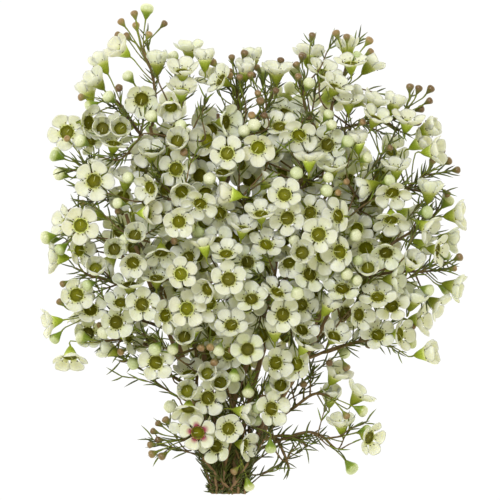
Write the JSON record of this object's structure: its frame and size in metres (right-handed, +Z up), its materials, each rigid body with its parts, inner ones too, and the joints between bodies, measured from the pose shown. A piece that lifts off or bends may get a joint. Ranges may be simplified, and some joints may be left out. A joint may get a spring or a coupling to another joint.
{
  "type": "waxflower bunch",
  "caption": "Bunch of cut waxflower lying down: woody stems fan out into sprays of small five-petalled white blossoms, round buds and thin needle leaves",
  "frame": {"origin": "middle of the bounding box on the surface that the bunch lies on", "axes": "+Y runs along the bunch from the cut ends to the blossoms, +Z points up, away from the surface, and +X to the right of the picture"},
  "size_m": [0.2124, 0.2458, 0.0868],
  "materials": {
    "bark": "matt striated brown bark, greyer on the ridges",
    "petals": "waxy white petals with a soft sheen round an olive green cup, on green stalks",
    "buds": "satin rosy brown and pale green buds on green cones, with white blossoms among them",
    "needles": "satin dark olive green needles on red-brown twigs"
  },
  "bodies": {
    "root": {"bud_spray_bottom": "buds", "bud_spray_left": "buds", "bud_spray_left_middle": "buds", "bud_spray_low_left": "buds", "bud_spray_right": "buds", "bud_spray_right_high": "buds", "bud_spray_right_low": "buds", "bud_spray_top": "buds", "bud_spray_top_inner": "buds", "bud_spray_top_left": "buds", "bud_spray_top_middle": "buds", "bud_spray_top_right": "buds", "flower_spray_back_01": "petals", "flower_spray_back_02": "petals", "flower_spray_back_03": "petals", "flower_spray_back_04": "petals", "flower_spray_back_05": "petals", "flower_spray_far_right": "petals", "flower_spray_front_01": "petals", "flower_spray_front_02": "petals", "flower_spray_front_03": "petals", "flower_spray_front_04": "petals", "flower_spray_front_05": "petals", "flower_spray_front_06": "petals", "flower_spray_front_07": "petals", "flower_spray_front_08": "petals", "flower_spray_front_09": "petals", "flower_spray_front_10": "petals", "flower_spray_front_11": "petals", "flower_spray_front_12": "petals", "flower_spray_front_13": "petals", "flower_spray_front_14": "petals", "flower_spray_front_15": "petals", "flower_spray_front_16": "petals", "flower_spray_front_17": "petals", "flower_spray_front_18": "petals", "flower_spray_front_19": "petals", "flower_spray_left": "petals", "flower_spray_left_high": "petals", "flower_spray_left_low": "petals", "flower_spray_low_1": "petals", "flower_spray_low_2": "petals", "flower_spray_low_right": "petals", "flower_spray_lowest_right": "petals", "flower_spray_neck_left": "petals", "flower_spray_neck_middle": "petals", "flower_spray_neck_right": "petals", "flower_spray_right": "petals", "flower_spray_top_left": "petals", "leafy_twig_1": "needles", "leafy_twig_2": "needles", "leafy_twig_3": "needles", "woody_stem_1": "bark", "woody_stem_2": "bark", "woody_stem_3": "bark", "woody_stem_4": "bark", "woody_stem_5": "bark", "woody_stem_6": "bark", "woody_stem_7": "bark", "woody_stem_8": "bark"}
  },
  "joints": []
}
